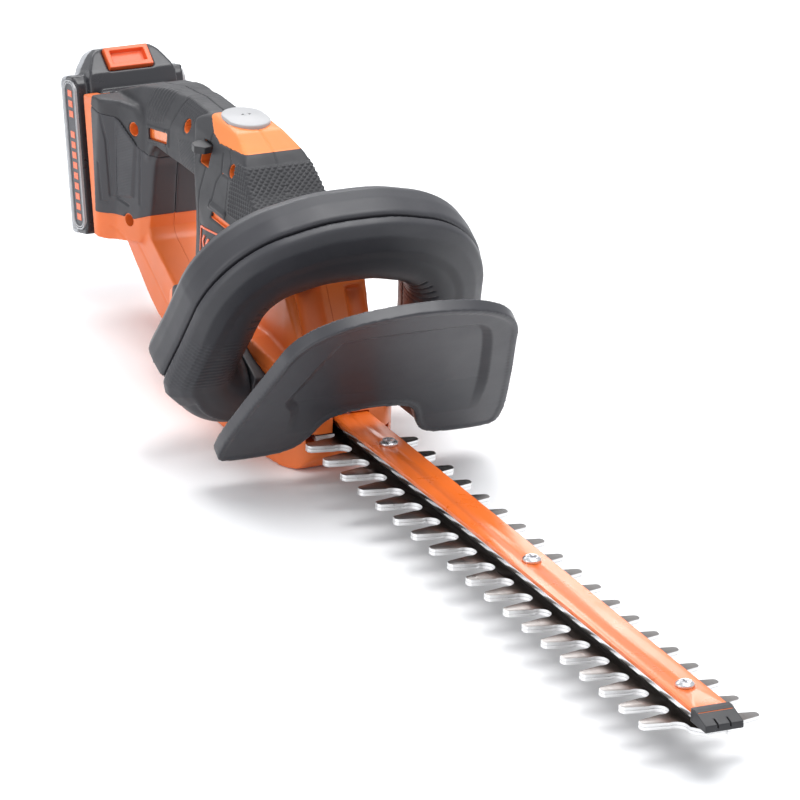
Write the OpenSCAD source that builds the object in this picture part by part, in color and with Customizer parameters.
// Cordless hedge trimmer with a rear grip, a front bail handle and a removable battery.
// Frame: origin at the centre of the flat foot under the gear housing, +Z up,
// blade towards -Y, battery towards +Y, X across.  Millimetres.

/* [Blade] */
// Spacing of the teeth along one side of a blade
tooth_pitch = 23.7; // [20:0.1:26]
// Number of full teeth along one side of a blade
tooth_count = 19; // [12:1:20]
// Distance across the tips of the teeth
blade_w = 66.4; // [60:0.2:72]
// Width of the plain spine of a blade
spine_w = 20.6; // [18:0.2:22]
// Thickness of one blade
blade_t = 1.9; // [1.5:0.1:1.95]
// Height of the top of the upper blade above the ground
blade_z = 24; // [23:0.5:26]
// Stroke of each blade to either side of its middle position
blade_stroke = 8; // [6:0.5:8]

/* [Guide bar] */
// Width of the painted guide bar
bar_w = 22; // [20:0.5:24]
// Thickness of the painted guide bar
bar_t = 2.5; // [2:0.1:3]
// Thickness of the steel rail under the guide bar
rail_t = 3; // [2:0.1:3.5]
// Spacing of the three blade screws
screw_pitch = 186.8; // [180:0.1:190]

/* [Housing] */
// Half width of the gear housing
body_hw = 42; // [41:0.5:44]
// Half width of the front column
column_hw = 31; // [30:0.5:33]
// Half width of the rear grip
grip_hw = 18.5; // [18:0.5:20]
// Wall thickness of the housings
wall = 3; // [2.8:0.1:3.2]
// Thickness of the dark covers that sit in the housings
cover_t = 1.8; // [1.5:0.1:2]

/* [Bail handle] */
// Lean of the bail handle towards the blade
bail_lean = 24; // [20:0.5:26]
// Half width of the bail tube's centre line at its widest
bail_hw = 76; // [75:0.5:78]
// Height of the bail tube's centre line in its own plane
bail_h = 148.5; // [145:0.5:152]
// Travel of the bail switch bar
bail_travel = 2.5; // [1.5:0.1:2.5]

/* [Guard] */
// Lean of the guard towards the blade
guard_lean = 35; // [30:1:40]
// Wall thickness of the guard
guard_t = 3; // [2.5:0.1:4]

/* [Battery] */
// Width of the battery
battery_w = 75; // [74:0.5:76]
// Lean of the battery away from the tool
battery_lean = 15; // [14:0.5:15]

/* [Hidden] */
$fn = 48;
fit = 0.05;

// blade stack, from the ground up
lower_top = blade_z - blade_t - 0.1;
spacer_z = blade_z + 0.1;
rail_z = blade_z + 6;
bar_z = rail_z + rail_t;
bar_top = bar_z + bar_t;
tooth_y0 = -57.6;
tip_y = -507;
bar_tip_y = -508;
bar_root_y = -8;
screw_y0 = -98.1;
screw_ys = [for (i = [0:2]) screw_y0 - i * screw_pitch];
gap_r = 6.2;

// gear train: a vertical motor drives one large wheel with two opposed eccentrics
gear_m = 1.2;
gear_teeth = 54;
pinion_teeth = 12;
gear_y = 22;
gear_z = 36;
gear_t = 8;
motor_y = gear_y + gear_m * (gear_teeth + pinion_teeth) / 2;
motor_z = 66;
motor_h = 58;
motor_r = 20;
shaft_r = 2.45;
root_ys = [-38, -20];
yoke_hole_w = 29.4;
yoke_hole_l = 46;
ecc_r = 6;

// pin of the trigger, middle of the status window and middle of the guard's feet
pin_y = 136;
pin_z = 129;
window_y = 195;
window_z = 129;
window_tilt = -11;
window_l = 26;
window_h = 6.2;
foot_x = 43;
foot_y = -20;
foot_z = 37;

// bearing sizes
brg_ro = 11;
brg_ri = 4;
brg_t = 7;

// foot of the battery, and the sizes of its five cells
batt_y = 252;
batt_z = 50;
cell_pitch = 18.3;
cell_r = 9;
cell_l = 65;

// bail frame
bail_y = 31;
tube_r = 20;
tube_low_r = 21.5;
tube_wall = 4;
bar_root_x = 47;
corner_low = 26.5;
corner_top = 42;
bail_low = 43;
leg_in = 8;
bar_first = 7;
root_screw_hs = [bail_low - 6, bail_low + 6];
bail_screw_spots = [[58, bail_low], [74, 92], [36, 146]];

// housing screws, as [y, z]
screw_spots = [[224, 124], [160, 147], [80, 146], [226, 64], [131, 30], [-32, 46], [10, 92]];

// ---------- helpers ----------

// a side outline given as [y, z], spread across x from x0 to x1
module across(x0, x1) {
    translate([x0, 0, 0])
        rotate([90, 0, 90])
            linear_extrude(x1 - x0)
                children();
}

// a front outline given as [x, z], spread along y from y0 to y1
module along(y0, y1) {
    translate([0, y1, 0])
        rotate([90, 0, 0])
            linear_extrude(y1 - y0)
                children();
}

// a plan outline given as [x, y], spread from z0 up to z1
module upward(z0, z1) {
    translate([0, 0, z0])
        linear_extrude(z1 - z0)
            children();
}

module soften(r) {
    offset(r = r, $fn = 24) offset(delta = -r) children();
}

module shrink(d) {
    offset(delta = -d) children();
}

// outline mirrored about x = 0 from its right-hand half, given bottom to top
module both_sides(half) {
    n = len(half);
    polygon(concat(half, [for (i = [0:n - 1]) [-half[n - 1 - i][0], half[n - 1 - i][1]]]));
}

module half_space(side) {
    translate([side < 0 ? -200 : 0, -600, -10]) cube([200, 1000, 300]);
}

module rod_x(x0, x1, r) {
    translate([x0, 0, 0]) rotate([0, 90, 0]) cylinder(h = x1 - x0, r = r);
}

module rod_y(y0, y1, r) {
    translate([0, y1, 0]) rotate([90, 0, 0]) cylinder(h = y1 - y0, r = r);
}

module ring(ro, ri, h) {
    difference() {
        cylinder(h = h, r = ro);
        translate([0, 0, -1]) cylinder(h = h + 2, r = ri);
    }
}

module slot2d(len, w) {
    hull() {
        translate([0, (len - w) / 2]) circle(d = w);
        translate([0, -(len - w) / 2]) circle(d = w);
    }
}

module round_rect(x, y, r) {
    square([x - 2 * r, y], center = true);
    square([x, y - 2 * r], center = true);
    for (sx = [-1, 1], sy = [-1, 1])
        translate([sx * (x / 2 - r), sy * (y / 2 - r)]) circle(r = r);
}

// a coil spring drawn as a stack of open turns
module coil(r, wire, h, turns) {
    step = (h - wire) / turns;
    for (i = [0:turns])
        translate([0, 0, wire / 2 + i * step])
            rotate_extrude($fn = 24)
                translate([r, 0]) circle(d = wire, $fn = 8);
    for (a = [0, 180])
        rotate(a) translate([r - wire * 0.35, -wire * 0.35, wire / 2])
            cube([wire * 0.7, wire * 0.7, h - wire]);
}

// a closed skin through rings of points that all have the same number of points;
// caps lists the convex faces that close the first ring
module skin(rings, caps = []) {
    n = len(rings[0]);
    m = len(rings);
    pts = [for (r = rings) for (p = r) p];
    side = [for (i = [0:m - 2]) for (j = [0:n - 1]) for (t = [0, 1])
        t == 0 ? [i * n + j, i * n + (j + 1) % n, (i + 1) * n + j]
               : [i * n + (j + 1) % n, (i + 1) * n + (j + 1) % n, (i + 1) * n + j]];
    cap = len(caps) == 0 ? [[for (j = [0:n - 1]) j]] : caps;
    first = [for (c = cap) [for (k = [len(c) - 1:-1:0]) c[k]]];
    last = [for (c = cap) [for (k = c) (m - 1) * n + k]];
    polyhedron(points = pts, faces = concat(side, first, last), convexity = 6);
}

// a ring of section points [out, depth] set square to a path [x, h] in the bail plane
function unit(v) = v / norm(v);
function path_dir(p, i) =
    i == 0 ? unit(p[1] - p[0])
  : i == len(p) - 1 ? unit(p[i] - p[i - 1])
  : unit(unit(p[i] - p[i - 1]) + unit(p[i + 1] - p[i]));
function ring_at(p, i, section) = let (d = path_dir(p, i), nrm = [-d[1], d[0]])
    [for (s = section) [p[i][0] + nrm[0] * s[0], s[1], p[i][1] + nrm[1] * s[0]]];

// ---------- housing outlines ----------

module low_side(d = 0) shrink(d) soften(5) polygon([[-47, 10], [-38, 0], [64, 0], [104, 2],
    [130, 12], [143, 28], [142, 48], [118, 62], [70, 70], [10, 68], [-26, 60], [-47, 40]]);

module low_plan(d = 0) shrink(d) soften(8) both_sides([[24, -48], [36, -28], [body_hw - 1, 5],
    [body_hw, 40], [body_hw + 2, 95], [body_hw - 2, 128], [24, 145]]);

module column_side(d = 0) shrink(d) soften(4) polygon([[-40, 40], [-34, 56], [-22, 78],
    [-4, 106], [24, 122], [52, 139], [72, 158], [92, 164.5], [125, 166], [146, 158],
    [136, 140], [123, 121], [118, 96], [118, 40], [100, 30], [0, 30]]);

module column_plan(d = 0) shrink(d) soften(10) both_sides([[19, -42], [26, -6],
    [column_hw, 50], [column_hw - 1, 95], [column_hw - 5, 125], [15, 150]]);

module column_front(d = 0) shrink(d) both_sides([[column_hw + 6, 28], [column_hw + 2, 70],
    [column_hw - 2, 104], [column_hw - 5, 124], [column_hw - 8, 143], [column_hw - 11, 155],
    [column_hw - 16, 163], [column_hw - 20, 167]]);

module grip_side(d = 0) shrink(d) soften(4) polygon([[112, 162], [139, 160], [168, 160.5],
    [200, 156.5], [230, 149], [260, 136], [274, 132], [262, 100], [214, 104], [204, 121],
    [150, 122.5], [118, 122]]);

module grip_front(d = 0) shrink(d) soften(5) both_sides([[grip_hw - 4, 90], [grip_hw, 108],
    [grip_hw, 130], [grip_hw - 1.5, 143], [grip_hw - 5.5, 154], [grip_hw - 11.5, 163]]);

module rear_side(d = 0) shrink(d) polygon([[251.2, 47], [274.0, 132], [255, 136], [225, 138],
    [204, 121], [208, 106], [210, 64], [216, 52], [240, 47]]);

module rear_plan(d = 0) shrink(d) soften(5) both_sides([[12, 203], [20, 216], [26, 238],
    [35, 247], [35.5, 290]]);

module strut_side(d = 0) shrink(d) soften(4) polygon([[246, 44], [240, 70], [216, 72],
    [206, 58], [168, 40], [134, 44], [112, 60], [104, 20], [148, 4], [180, 8], [206, 21]]);

// solid envelope of the housing, shrunk evenly by d
module envelope(d = 0) {
    intersection() {
        across(-60, 60) low_side(d);
        upward(-5, 90) low_plan(d);
    }
    intersection() {
        across(-60, 60) column_side(d);
        upward(20, 180) column_plan(d);
        along(-60, 170) column_front(d);
    }
    intersection() {
        across(-60, 60) grip_side(d);
        along(100, 290) grip_front(d);
    }
    intersection() {
        across(-60, 60) rear_side(d);
        upward(30, 170) rear_plan(d);
    }
    across(-17 + d, 17 - d) strut_side(d);
}

// regions, seen from the side, that the dark covers fill
module side_cover_region() polygon([[205, 74], [222, 65], [249, 64], [252, 80], [265, 128],
    [240, 127], [219, 113], [205, 109]]);
module grip_cover_region() {
    difference() {
        polygon([[84, 151], [110.5, 150], [117.5, 157.6], [137.4, 168.6], [150, 175], [262, 165],
            [266, 131], [240, 130], [219, 116], [200, 112], [119, 112], [119, 52], [84, 62],
            [52, 84], [52, 117], [78, 117]]);
        translate([133, 110]) square([34, 14]);
    }
}
module hump_cover_region() polygon([[20, 117], [78, 117], [84, 151], [92, 158], [60, 160],
    [40, 146]]);
module cap_region() polygon([[66, 160.4], [91, 158.4], [109, 151], [116, 158.8], [136, 170],
    [70, 175], [60, 165]]);

module button_hole(d = 0) {
    translate([0, 112]) round_rect(26 + 2 * d, 34 + 2 * d, 12.9 + d);
}

module screw_bores(left) {
    for (s = screw_spots)
        translate([0, s[0], s[1]]) {
            rod_x(left ? -60 : -1, left ? 1 : 10, left ? 2.1 : 1.9);
            if (left) rod_x(-60, -9, 4.2);
        }
}

module screw_bosses(side) {
    intersection() {
        union()
            for (s = screw_spots)
                translate([0, s[0], s[1]]) rod_x(side < 0 ? -50 : 0, side < 0 ? 0 : 50, 5.6);
        envelope(1);
    }
    // seats of the trigger pin and a ledge under the lever's spring
    intersection() {
        union() {
            translate([0, pin_y, pin_z]) rod_x(side * 29 - 21.8, side * 29 + 21.8, 4);
            translate([-34, 113, 122]) cube([21, 8, 3]);
        }
        envelope(1);
    }
}

module in_battery_frame() {
    translate([0, batt_y, batt_z]) rotate([-battery_lean, 0, 0]) children();
}

// seat of the release button in the head of the pack
module in_button_frame() {
    translate([0, 7.2, 103.4]) rotate([-40, 0, 0]) children();
}

module in_bail_frame() {
    translate([0, bail_y, 0]) rotate([bail_lean, 0, 0]) children();
}

module in_guard_frame() {
    translate([0, -54, blade_z - 2]) rotate([guard_lean, 0, 0]) children();
}

// everything cut out of both housing halves
module housing_cuts() {
    // pocket for the battery tower
    in_battery_frame() {
        translate([-21, -16, 4]) cube([42, 8, 100]);
        translate([-27, -9.6, 4]) cube([54, 5.2, 100]);
        translate([-23, -9.6, 4]) cube([46, 30, 100]);
    }
    // slit in the nose for the blades and the guide bar
    translate([-27, -60, 18.5]) cube([54, 40, 6.5]);
    translate([-12, -60, blade_z + 0.5]) cube([24, 40, bar_top - blade_z]);
    // trigger window
    translate([-7.5, 129, 112]) cube([15, 40, 20]);
    // top button hole
    upward(150, 175) button_hole(0.6);
    // lever slot in the left wall
    translate([-40, 111, 138]) cube([40, 12, 14]);
    // side window
    for (s = [-1, 1])
        translate([s * 17, window_y, window_z]) rotate([window_tilt, 0, 0])
            cube([9, window_l + 0.4, window_h + 0.4], center = true);
    // cooling slots
    for (i = [0:2])
        for (s = [-1, 1])
            translate([s * 35, 84, 88 - 7 * i]) rotate([-20, 0, 0])
                cube([12, 20, 2.6], center = true);
}

module housing(side) {
    difference() {
        intersection() {
            union() {
                difference() {
                    envelope(0);
                    envelope(wall + cover_t);
                    // the lower and front walls have no cover and stay thinner
                    intersection() {
                        envelope(wall);
                        translate([-60, -60, 0]) cube([120, 175, 60]);
                    }
                }
                screw_bosses(side);
            }
            half_space(side);
        }
        // seats of the covers
        difference() {
            across(-60, 60) {
                side_cover_region();
                grip_cover_region();
                hump_cover_region();
                cap_region();
            }
            envelope(cover_t);
        }
        housing_cuts();
        screw_bores(side < 0);
        // trigger pin seat and the holes of the guard's and the bail's screws
        translate([0, pin_y, pin_z]) rod_x(-13.2, 13.2, 1.5);
        translate([0, foot_y, foot_z]) rod_x(-50, 50, 1.7);
        in_bail_frame()
            for (h = root_screw_hs)
                translate([0, 0, h]) rod_x(-50, 50, 1.75);
    }
}

module housing_left() color("orangered") housing(-1);
module housing_right() color("orangered") housing(1);

module cover(side) {
    difference() {
        intersection() {
            difference() {
                envelope(0);
                envelope(cover_t);
            }
            across(-60, 60) children();
            half_space(side);
        }
        housing_cuts();
        for (s = screw_spots)
            translate([0, s[0], s[1]]) rod_x(side < 0 ? -60 : 20, side < 0 ? -9 : 21, 4.2);
    }
}

module side_cover_left() color("dimgray") cover(-1) side_cover_region();
module side_cover_right() color("dimgray") cover(1) side_cover_region();
module grip_cover_left() color("dimgray") cover(-1) grip_cover_region();
module grip_cover_right() color("dimgray") cover(1) grip_cover_region();

module hump_cover() color("dimgray")
    difference() {
        intersection() {
            difference() {
                envelope(0);
                envelope(cover_t);
            }
            across(-60, 60) hump_cover_region();
        }
        for (s = screw_spots) translate([0, s[0], s[1]]) rod_x(-60, -9, 4.2);
    }

module top_cap() color("darkorange")
    difference() {
        intersection() {
            difference() {
                envelope(0);
                envelope(cover_t);
            }
            across(-60, 60) cap_region();
        }
        upward(140, 175) button_hole(0.6);
    }

// ---------- controls ----------

module boost_button() color("silver") {
    upward(158, 167.5) button_hole(0);
    upward(154.5, 158) button_hole(-6);
    translate([0, 112, 145.8]) cylinder(h = 9, r = 1.5);
}

module boost_switch() color("black")
    difference() {
        translate([-7, 104, 137]) cube([14, 16, 10]);
        translate([0, 112, 143]) cylinder(h = 5, r = 1.6);
    }

module boost_spring() color("gainsboro")
    translate([0, 112, 147.1]) coil(4, 0.9, 7.2, 4);

module lock_off_lever() color("black") {
    translate([-34, 113, 146.4]) cube([17, 8, 5]);
    translate([-34, 108.5, 146.4]) cube([7.5, 17, 5]);
    translate([-17.2, 113, 138.5]) cube([3.2, 8, 12.9]);
}

module lock_off_spring() color("gainsboro")
    translate([-15.6, 117, 125.05]) coil(2.2, 0.6, 13.4, 6);

module trigger() color("orangered")
    difference() {
        union() {
            across(-6.5, 6.5) soften(2) polygon([[134, 128], [164, 128], [165, 118], [160, 107],
                [152, 108], [144, 112], [136, 118], [132.5, 126]]);
            translate([0, pin_y, pin_z]) rod_x(-6.5, 6.5, 3.4);
        }
        translate([0, pin_y, pin_z]) rod_x(-10, 10, 1.55);
    }

module trigger_pin() color("gainsboro")
    translate([0, pin_y, pin_z]) rod_x(-13.1, 13.1, 1.5);

module trigger_spring() color("gainsboro")
    translate([0, 158, 128.05]) coil(2.6, 0.7, 5.8, 4);

module trigger_switch() color("black")
{
    translate([-7, 146, 134]) cube([14, 26, 6]);
    translate([-7, 168, 134]) cube([14, 18, 15]);
}

module status_window() color("orange")
    for (s = [-1, 1])
        translate([s * 15.6, window_y, window_z]) rotate([window_tilt, 0, 0])
            cube([4.4, window_l, window_h], center = true);

module housing_screws() color("gainsboro")
    for (s = screw_spots)
        translate([0, s[0], s[1]]) {
            rod_x(-9, 10, 1.9);
            difference() {
                rod_x(-11.6, -9, 3.6);
                translate([-12, -2, -0.5]) cube([1.4, 4, 1]);
                translate([-12, -0.5, -2]) cube([1.4, 1, 4]);
            }
        }

// ---------- gear train ----------

module gear_case_lower() color("lightgray")
    difference() {
        union() {
            upward(5, 18) translate([0, 28]) round_rect(56, 96, 20);
            translate([-13, -41.5, 10]) cube([26, 40, 8]);
        }
        translate([0, gear_y, 6.4]) cylinder(h = 12, r = brg_ro + 0.02);
        for (y = root_ys)
            translate([0, y, 0]) {
                cylinder(h = 30, r = 2.5);
                cylinder(h = 14, r = 5.4);
            }
    }

module gear_case_upper() color("lightgray")
    difference() {
        union() {
            translate([0, gear_y, 26]) cylinder(h = 30, r = 36.4);
            translate([0, motor_y, 26]) cylinder(h = 30, r = 19);
        }
        translate([0, gear_y, 25]) cylinder(h = 20.5, r = 34.7);
        translate([0, motor_y, 25]) cylinder(h = 26, r = 15);
        translate([0, gear_y, 40]) cylinder(h = 13.4, r = brg_ro + 0.02);
        translate([0, gear_y, 40]) cylinder(h = 30, r = 6);
        translate([0, motor_y, 40]) cylinder(h = 30, r = 4);
        // clearance for the guide bar's root
        translate([-14, -40, 20]) cube([28, 34.5, 17]);
    }

module tooth_row(m, z, h) {
    pr = m * z / 2;
    for (i = [0:z - 1])
        rotate(i * 360 / z)
            linear_extrude(h)
                polygon([[pr - 1.35 * m, -m * 0.98], [pr, -m * 0.72], [pr + 0.85 * m, -m * 0.34],
                    [pr + 0.85 * m, m * 0.34], [pr, m * 0.72], [pr - 1.35 * m, m * 0.98]]);
}

module drive_gear() color("silver")
    translate([0, gear_y, 0])
        difference() {
            union() {
                translate([0, 0, gear_z])
                    cylinder(h = gear_t, r = gear_m * gear_teeth / 2 - 1.2 * gear_m);
                translate([0, 0, gear_z]) tooth_row(gear_m, gear_teeth, gear_t);
                translate([0, 0, 18.5]) cylinder(h = gear_z - 18, r = ecc_r + 0.5);
                translate([blade_stroke, 0, lower_top + 0.1]) cylinder(h = blade_t, r = ecc_r);
                translate([-blade_stroke, 0, lower_top - blade_t]) cylinder(h = blade_t, r = ecc_r);
            }
            translate([0, 0, 10]) cylinder(h = 60, r = brg_ri - fit);
        }

module gear_shaft() color("gainsboro")
    translate([0, gear_y, 7]) cylinder(h = 46, r = brg_ri - fit);

module bearing() {
    ring(brg_ro, brg_ro - 2.2, brg_t);
    ring(brg_ri + 2.2, brg_ri, brg_t);
    translate([0, 0, 1]) ring(brg_ro - 2, brg_ri + 2, brg_t - 2);
}

module gear_bearings() color("silver")
    for (z = [6.5, 46.2])
        translate([0, gear_y, z]) bearing();

module pinion() color("silver")
    translate([0, motor_y, gear_z - 0.5])
        difference() {
            union() {
                cylinder(h = gear_t + 1, r = gear_m * pinion_teeth / 2 - 1.3 * gear_m);
                tooth_row(gear_m, pinion_teeth, gear_t + 1);
            }
            translate([0, 0, -1]) cylinder(h = gear_t + 4, r = shaft_r);
        }

module motor_can() color("silver")
    translate([0, motor_y, motor_z])
        difference() {
            cylinder(h = motor_h, r = motor_r);
            translate([0, 0, 2]) cylinder(h = motor_h - 4, r = motor_r - 2);
            translate([0, 0, -1]) cylinder(h = motor_h + 2, r = 5.52);
            for (a = [45:90:315])
                rotate(a) translate([12, 0, -1]) cylinder(h = 4, r = 3);
        }

module motor_rotor() color("peru")
    translate([0, motor_y, 0]) {
        translate([0, 0, 35]) cylinder(h = 92, r = shaft_r);
        translate([0, 0, 76]) cylinder(h = 34, r = 15);
        translate([0, 0, 112]) cylinder(h = 8, r = 8);
    }

module motor_bearings() color("silver")
    for (z = [motor_z, motor_z + motor_h - 4])
        translate([0, motor_y, z]) ring(5.5, 2.5, 4);

module cooling_fan() color("black")
    translate([0, motor_y, 57.5]) {
        ring(6, shaft_r, 6);
        ring(17.5, 5, 1.2);
        for (a = [0:30:330])
            rotate(a) translate([5.5, -0.6, 0]) cube([11, 1.2, 5.5]);
    }

module control_board() color("darkgreen") {
    translate([-18, 101, 44]) cube([36, 1.6, 66]);
    for (i = [0:2])
        translate([-14 + 10 * i, 95, 52 + 16 * i]) cube([8, 6.05, 12]);
}

// ---------- blades and guide bar ----------

module blade_outline() {
    difference() {
        union() {
            // spine
            translate([-spine_w / 2, tip_y + 8]) square([spine_w, -tip_y - 8 - 6]);
            polygon([[-spine_w / 2, tip_y + 8.01], [-spine_w / 2 + 7, tip_y],
                [spine_w / 2, tip_y], [spine_w / 2, tip_y + 8.01]]);
            // toothed width
            for (i = [0:tooth_count - 1]) {
                one_tooth(-1, tooth_y0 - i * tooth_pitch);
                one_tooth(1, tooth_y0 - (i + 0.5) * tooth_pitch);
            }
            // short stub of a tooth at the root
            translate([-22, tooth_y0 + 11]) square([14, 6]);
            // yoke
            translate([0, gear_y]) round_rect(41, 66, 8);
            translate([-14, -14]) square([28, 12]);
        }
        translate([0, gear_y]) round_rect(yoke_hole_w, yoke_hole_l, 6);
        for (y = screw_ys) translate([0, y]) slot2d(27, 8.6);
        // screws of the bar root pass through here
        translate([0, -29]) slot2d(44, 6.6);
    }
}

// a finger with a rounded hollow at each side of its root
module one_tooth(side, y) {
    mirror([side < 0 ? 1 : 0, 0]) {
        translate([0, y])
            difference() {
                polygon([[8, -tooth_pitch / 2], [spine_w / 2 + gap_r, -tooth_pitch / 2],
                    [spine_w / 2 + gap_r, -tooth_pitch / 2 + gap_r - 0.6], [blade_w / 2 - 1.4, -3],
                    [blade_w / 2, -1.2], [blade_w / 2, 1.8], [blade_w / 2 - 1.4, 3],
                    [spine_w / 2 + gap_r, tooth_pitch / 2 - gap_r + 0.6],
                    [spine_w / 2 + gap_r, tooth_pitch / 2], [8, tooth_pitch / 2]]);
                for (s = [-1, 1])
                    translate([spine_w / 2 + gap_r, s * tooth_pitch / 2]) circle(r = gap_r);
            }
    }
}

module upper_blade() color("dimgray")
    upward(lower_top + 0.1, blade_z) blade_outline();

module lower_blade() color("dimgray")
    upward(lower_top - blade_t, lower_top) blade_outline();

module bar_holes(r) {
    for (y = screw_ys) translate([0, y, 0]) cylinder(h = 60, r = r);
    for (y = root_ys) translate([0, y, 0]) cylinder(h = 60, r = 2.5);
}

module guide_bar() color("darkorange")
    difference() {
        translate([-bar_w / 2, bar_tip_y, bar_z]) cube([bar_w, bar_root_y - bar_tip_y, bar_t]);
        bar_holes(2.6);
    }

module steel_rail() color("lightgray")
    difference() {
        translate([-bar_w / 2 + 0.4, bar_tip_y, rail_z])
            cube([bar_w - 0.8, bar_root_y - bar_tip_y, rail_t]);
        bar_holes(2.6);
    }

module bar_spacer() color("darkslategray")
    difference() {
        translate([-5.5, bar_tip_y, spacer_z])
            cube([11, bar_root_y - bar_tip_y, rail_z - spacer_z]);
        bar_holes(2.6);
    }

module blade_bushes() color("gainsboro")
    for (y = screw_ys)
        translate([0, y, lower_top - blade_t - 0.2])
            ring(4, 2.55, spacer_z - lower_top + blade_t + 0.2);

module blade_screws() color("silver")
    for (y = screw_ys)
        translate([0, y, 0])
            difference() {
                union() {
                    translate([0, 0, 14.5]) cylinder(h = bar_top - 14.5, r = 2.5);
                    translate([0, 0, bar_top]) cylinder(h = 1.6, r = 5.4);
                    translate([0, 0, bar_top + 1.6]) cylinder(h = 1.4, r1 = 5.4, r2 = 3.6);
                }
                translate([-3, -0.6, bar_top + 1.6]) cube([6, 1.2, 3]);
                translate([-0.6, -3, bar_top + 1.6]) cube([1.2, 6, 3]);
            }

module blade_nuts() color("silver")
    for (y = screw_ys)
        translate([0, y, 0])
            difference() {
                union() {
                    translate([0, 0, 14.9]) cylinder(h = 3.5, r = 4.9, $fn = 6);
                    translate([0, 0, 18.4]) cylinder(h = lower_top - blade_t - 0.2 - 18.4, r = 6);
                }
                translate([0, 0, 10]) cylinder(h = 20, r = 2.5);
            }

module bar_root_screws() color("silver")
    for (y = root_ys)
        translate([0, y, 0]) {
            translate([0, 0, 13]) cylinder(h = bar_top - 13, r = 2.45);
            translate([0, 0, bar_top]) cylinder(h = 2.6, r = 4.6);
            translate([0, 0, 10.5]) cylinder(h = 3.4, r = 4.4, $fn = 6);
        }

module tip_cap() color("darkslategray")
    difference() {
        across(-11.6, 11.6) polygon([[-501, blade_z + 4.4], [-501, bar_top + 0.9],
            [-505, bar_top + 0.9], [-518.5, blade_z + 8.4], [-519, blade_z + 4.4]]);
        translate([-bar_w / 2 - fit, bar_tip_y - 0.02, rail_z])
            cube([bar_w + 2 * fit, 20, bar_top - rail_z]);
        translate([-5.55, bar_tip_y - 0.02, blade_z - 2]) cube([11.1, 20, 12]);
        for (x = [-3.9, 3.9])
            translate([x - 0.4, -525, bar_top - 2]) rotate([-28, 0, 0]) cube([0.8, 30, 5.8]);
    }

// ---------- guard ----------

module guard_outline() soften(3)
    both_sides([[30.5, 32.5], [33, 27], [36, 10], [44, 1], [60, -1], [80, 0], [87, 5], [90, 15],
        [88, 27], [81, 60], [74, 85], [68, 101], [60, 112], [44, 120], [20, 125], [0, 126.5]]);

module guard_panel() soften(3)
    both_sides([[30, 46], [61.7, 50], [60, 62], [43, 108], [20, 112], [0, 113]]);

module guard() color("dimgray") {
    difference() {
        union() {
            in_guard_frame() {
                translate([0, guard_t, 0]) rotate([90, 0, 0])
                    linear_extrude(guard_t) guard_outline();
                // rim turned back all round
                translate([0, 12, 0]) rotate([90, 0, 0]) linear_extrude(12)
                    difference() {
                        guard_outline();
                        shrink(guard_t) guard_outline();
                    }
                // raised panel
                rotate([90, 0, 0]) linear_extrude(1.6) guard_panel();
            }
            // feet that reach back to the nose of the housing
            for (s = [-1, 1])
                across(s * foot_x - 4, s * foot_x + 4)
                    polygon([[-57.5, 29], [-13, 29], [-13, 46], [-68.5, 46]]);
        }
        // trim the feet where they would pass the front face
        in_guard_frame() translate([-100, -80, -60]) cube([200, 78.4, 260]);
        envelope(0);
        for (s = [-1, 1]) translate([s * foot_x, foot_y, foot_z]) rod_x(-20, 20, 1.75);
    }
}

module guard_screws() color("silver")
    for (s = [-1, 1])
        translate([s * foot_x, foot_y, foot_z])
            if (s < 0) {
                rod_x(-4, 6, 1.7);
                rod_x(-6.2, -4, 3.6);
            } else {
                rod_x(-6, 4, 1.7);
                rod_x(4, 6.2, 3.6);
            }

// ---------- bail handle ----------

// right half of the centre line, from the body outwards, up and over to the middle
function arc(cx, cy, r, a0, a1, n) =
    [for (i = [0:n]) let (a = a0 + (a1 - a0) * i / n) [cx + r * cos(a), cy + r * sin(a)]];
half_path = concat([[bar_root_x, bail_low]],
    arc(bail_hw - corner_low, bail_low + corner_low, corner_low, -90, -4, 6),
    arc(bail_hw - leg_in - corner_top, bail_h - corner_top - 4, corner_top, 8, 78, 7),
    [[18, bail_h - 0.8], [0, bail_h]]);
full_path = concat([for (i = [0:len(half_path) - 2]) half_path[i]],
    [for (i = [len(half_path) - 1:-1:0]) [-half_path[i][0], half_path[i][1]]]);

// the tube is thicker at its two lower corners
function tube_radius(h) = tube_low_r
    + (tube_r - tube_low_r) * min(1, max(0, (h - bail_low - 8) / 34));

// half sections of the tube: [out, depth]; depth is towards the battery when positive
function half_oval(s, r) =
    [for (i = [0:8]) let (a = -90 + 22.5 * i)
        [-r * sign(sin(a)) * pow(abs(sin(a)), 0.85), s * r * pow(cos(a), 0.75)]];
function reversed(v) = [for (i = [len(v) - 1:-1:0]) v[i]];
// half shell of the tube, outside first and then back along the inside
function half_shell(s, r) = concat(half_oval(s, r), reversed(half_oval(s, r - tube_wall)));
shell_caps = [for (i = [0:7]) [i, i + 1, 16 - i, 17 - i]];
function shell_rings(s) = [for (i = [0:len(full_path) - 1]) let (
    sec = half_shell(s, tube_radius(full_path[i][1])))
    ring_at(full_path, i, s < 0 ? reversed(sec) : sec)];

module bail_half(side) {
    in_bail_frame()
        difference() {
            skin(shell_rings(side), shell_caps);
            // ways through for the switch bar's plunger and springs
            for (x = [-20, 0, 20])
                translate([x - 4.2, -4.2, bail_h]) cube([8.4, 8.4, 30]);
            for (p = bail_screw_spots, s = [-1, 1])
                translate([s * p[0], 0, p[1]]) rod_y(-17, 30, 1.8);
        }
}

module bail_handle_front() color("dimgray") bail_half(-1);
module bail_handle_rear() color("dimgray") bail_half(1);

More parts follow.
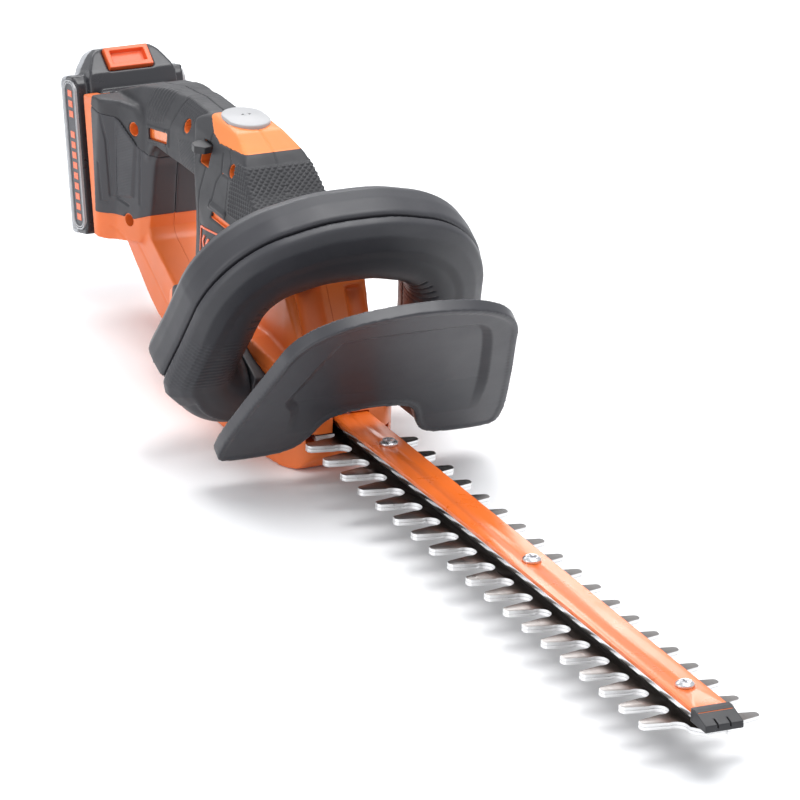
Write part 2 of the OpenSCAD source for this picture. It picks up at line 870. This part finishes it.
// the switch bar is a channel over the outside of the tube, from leg to leg
bar_path = [for (i = [bar_first:len(full_path) - 1 - bar_first]) full_path[i]];
function rise(h) = min(1, max(0, (h - 70) / 70));
function bar_section(h) = let (
    r = tube_radius(h),
    under = -(r + 1 + (bail_travel - 0.6) * rise(h)),
    top = -(r + 6 + 4.5 * rise(h)),
    lip = -(r - 2.5),
    w = r - 1.4,
    wall_w = 2.2)
    [[lip, -w - wall_w], [lip, -w], [under, -w + 1.5], [under, w - 1.5], [lip, w],
     [lip, w + wall_w], [top + 4.5, w + wall_w - 0.5], [top + 1, w - 4], [top, 6],
     [top, -6], [top + 1, 4 - w], [top + 4.5, 0.5 - w - wall_w]];
bar_caps = [[0, 1, 2, 11], [11, 2, 10], [2, 3, 7, 8, 9, 10], [3, 6, 7], [3, 4, 5, 6]];
bar_rings = [for (i = [0:len(bar_path) - 1]) ring_at(bar_path, i, bar_section(bar_path[i][1]))];

module bail_switch_bar() color("dimgray")
    in_bail_frame() {
        skin(bar_rings, bar_caps);
        translate([0, 0, bail_h + 11.8]) cylinder(h = tube_r - 7, r = 3);
    }

module bail_springs() color("gainsboro")
    in_bail_frame()
        for (s = [-1, 1])
            translate([s * 20, 0, bail_h + 9.05]) coil(3, 0.8, 12.2, 5);

module bail_switch() color("black")
    in_bail_frame()
        translate([-26, -5, bail_h - 2]) cube([52, 10, 11]);

// saddles between the sides of the housing and the ends of the tube
module bail_brackets() color("dimgray")
    for (s = [-1, 1])
        difference() {
            in_bail_frame()
                translate([s * (bar_root_x - 6) - 6, -19, bail_low - 21]) cube([12, 38, 42]);
            envelope(0);
            in_bail_frame()
                for (h = root_screw_hs)
                    translate([s * 41, 0, h]) rod_x(-30, 30, 1.8);
        }

module bail_root_screws() color("silver")
    in_bail_frame()
        for (s = [-1, 1], h = root_screw_hs)
            translate([s * 41.6, 0, h]) rod_x(-5, 5, 1.75);

module bail_screws() color("gainsboro")
    in_bail_frame()
        for (p = bail_screw_spots, s = [-1, 1])
            translate([s * p[0], 0, p[1]]) rod_y(-16.8, 17, 1.75);

// ---------- battery ----------

// front outline of the pack's middle, with its rounded head
module battery_front() both_sides([[29, -3], [29, 92], [27, 98], [22, 106], [18, 109]]);

module battery_case() color("black")
    in_battery_frame()
        difference() {
            union() {
                intersection() {
                    across(-29, 29) polygon([[0.3, -3], [0.3, 87], [2, 96], [12, 107.5], [14, 109],
                        [20, 109], [20, -3]]);
                    along(-10, 40) battery_front();
                }
                across(-battery_w / 2 + 0.6, battery_w / 2 - 0.6)
                    polygon([[7, -3], [7, 90], [11, 94.5], [20, 94.5], [20, -3]]);
                // tower that slides into the tool
                translate([-20, -15, 8]) cube([40, 10, 77]);
                translate([-26, -9, 8]) cube([52, 4, 77]);
                translate([-22, -9, 8]) cube([44, 10, 77]);
            }
            translate([-33, 8, -0.2]) cube([66, 20, 92]);
            translate([-17, -12.5, 11]) cube([34, 18, 68]);
            // button pocket
            in_button_frame() cube([30.6, 14, 16.6], center = true);
            for (s = [-1, 1])
                translate([s * (battery_w / 2), 13.5, 46]) cube([4, 13.4, 93.4], center = true);
        }

module battery_tray() color("lightgray")
    in_battery_frame()
        difference() {
            union() {
                intersection() {
                    across(-29, 29) polygon([[20, -3], [20, 109], [24, 108], [27, 105], [27.6, 0],
                        [25.6, -3]]);
                    along(-10, 40) battery_front();
                }
                across(-battery_w / 2, battery_w / 2)
                    polygon([[20, -3], [20, 95], [25.6, 93.5], [27.6, 90.5], [27.6, 0], [25.6, -3]]);
            }
            translate([-33, 8, -0.2]) cube([66, 18.4, 92]);
            for (s = [-1, 1])
                translate([s * (battery_w / 2), 16, 46]) cube([3.6, 18, 93.4], center = true);
        }

module battery_bezels() color("gainsboro")
    in_battery_frame()
        for (s = [-1, 1])
            translate([s * (battery_w / 2 - 0.7), 16, 46]) rotate([90, 0, 90])
                linear_extrude(1.6, center = true) {
                    difference() {
                        round_rect(18, 93, 7);
                        round_rect(16.2, 91.2, 6.1);
                    }
                    difference() {
                        round_rect(15, 90, 5.7);
                        round_rect(13.8, 88.8, 5.5);
                    }
                }

module battery_labels() color("dimgray")
    in_battery_frame()
        for (s = [-1, 1])
            translate([s * (battery_w / 2 - 1), 16, 46]) rotate([90, 0, 90])
                linear_extrude(0.9, center = true) round_rect(13.5, 88.5, 5.4);

module battery_cells() color("teal")
    in_battery_frame()
        for (i = [0:4])
            translate([0, 17.2, cell_r + 0.1 + cell_pitch * i]) rod_x(-cell_l / 2, cell_l / 2, cell_r);

module battery_board() color("darkgreen")
    in_battery_frame()
        translate([-16.5, -9, 12]) cube([33, 1.6, 66]);

module battery_button() color("orangered")
    in_battery_frame()
        in_button_frame()
            difference() {
                translate([-14.6, -1.6, -7.6]) cube([29.2, 5.2, 15.2]);
                translate([-11.4, -2.6, -4.6]) cube([22.8, 4.6, 9.6]);
            }

module battery_spring() color("gainsboro")
    in_battery_frame()
        in_button_frame() rotate([-90, 0, 0])
            translate([0, 0, 3.7]) coil(3, 0.8, 3, 2);

module terminal_block() color("black")
    in_battery_frame()
        translate([-20, -22, 30]) cube([40, 4.8, 30]);

housing_left();
housing_right();
side_cover_left();
side_cover_right();
grip_cover_left();
grip_cover_right();
hump_cover();
top_cap();
boost_button();
boost_switch();
boost_spring();
lock_off_lever();
lock_off_spring();
trigger();
trigger_pin();
trigger_spring();
trigger_switch();
status_window();
housing_screws();
gear_case_lower();
gear_case_upper();
drive_gear();
gear_shaft();
gear_bearings();
pinion();
motor_can();
motor_rotor();
motor_bearings();
cooling_fan();
control_board();
upper_blade();
lower_blade();
guide_bar();
steel_rail();
bar_spacer();
blade_bushes();
blade_screws();
blade_nuts();
bar_root_screws();
tip_cap();
guard();
guard_screws();
bail_handle_front();
bail_handle_rear();
bail_switch_bar();
bail_springs();
bail_switch();
bail_brackets();
bail_screws();
bail_root_screws();
battery_case();
battery_tray();
battery_bezels();
battery_labels();
battery_cells();
battery_board();
battery_button();
battery_spring();
terminal_block();
